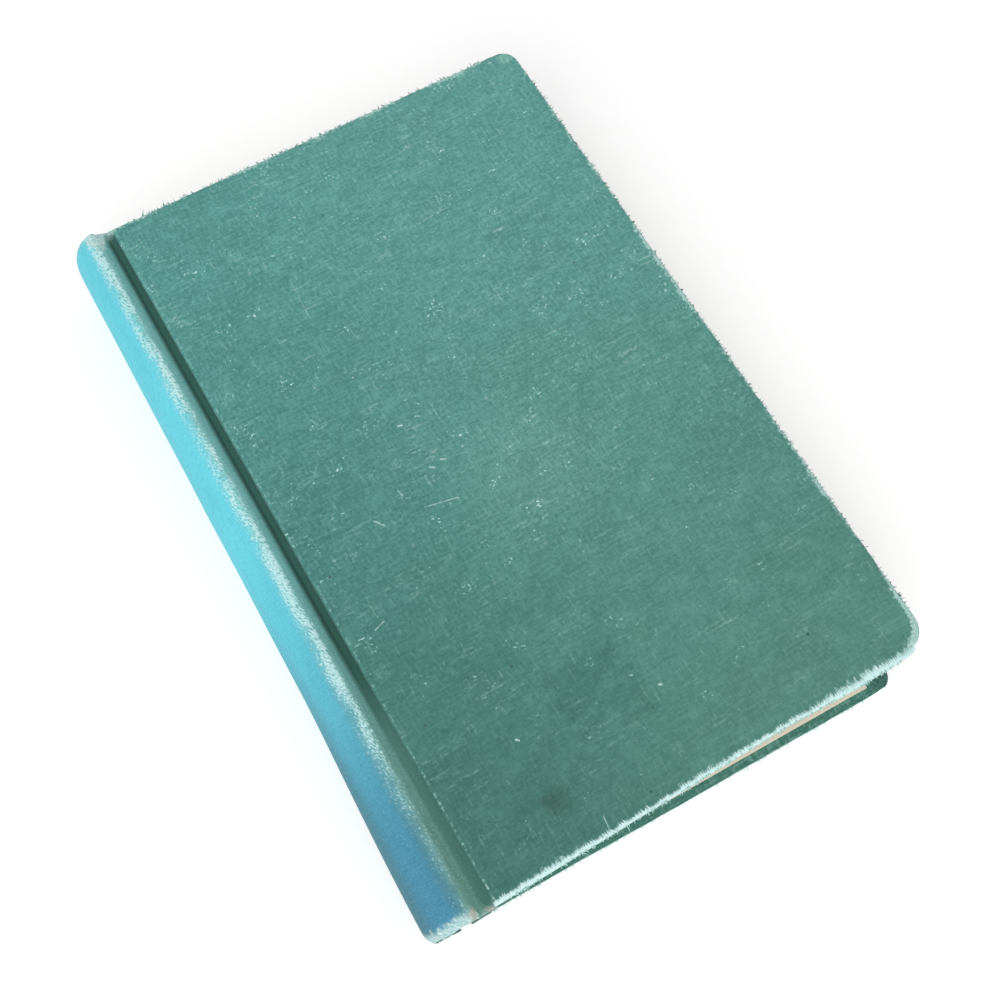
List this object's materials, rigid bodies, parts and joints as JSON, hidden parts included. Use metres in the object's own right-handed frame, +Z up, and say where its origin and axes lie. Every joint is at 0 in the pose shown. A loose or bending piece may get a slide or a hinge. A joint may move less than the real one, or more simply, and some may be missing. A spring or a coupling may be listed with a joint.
{
  "type": "hardback book",
  "caption": "Old cloth-bound hardback book, closed: worn teal cover with grooved joints, rounded hollow spine and leaning text block; both covers open on hinges.",
  "frame": {"origin": "middle of the book's footprint, on the outside of the back cover, which it lies on", "axes": "+X from the spine to the fore edge, +Y from tail to head, +Z up through the front cover"},
  "size_m": [0.1457, 0.214, 0.0316],
  "materials": {
    "leaves": "matte",
    "endpaper": "matte",
    "mull": "matte",
    "lining_paper": "matte",
    "spine_cloth": "matte",
    "card": "matte",
    "board": "matte",
    "cover_cloth": "matte"
  },
  "bodies": {
    "book_block": {"text_block": "leaves", "front_flyleaf": "endpaper", "back_flyleaf": "endpaper", "spine_mull": "mull", "spine_lining": "lining_paper", "spine_cloth": "spine_cloth", "spine_inlay": "card"},
    "front_cover": {"front_board": "board", "front_cover_cloth": "cover_cloth", "front_pastedown": "endpaper"},
    "back_cover": {"back_board": "board", "back_cover_cloth": "cover_cloth", "back_pastedown": "endpaper"}
  },
  "joints": [
    {"name": "front_cover_hinge", "type": "hinge", "parent": "book_block", "child": "front_cover", "pos_m": [-0.05945, 0, 0.0316], "axis": [0.0163, -0.9999, 0], "range_deg": [0, 178]},
    {"name": "back_cover_hinge", "type": "hinge", "parent": "book_block", "child": "back_cover", "pos_m": [-0.05945, 0, 0], "axis": [0.0163, 0.9999, 0], "range_deg": [0, 178]}
  ]
}
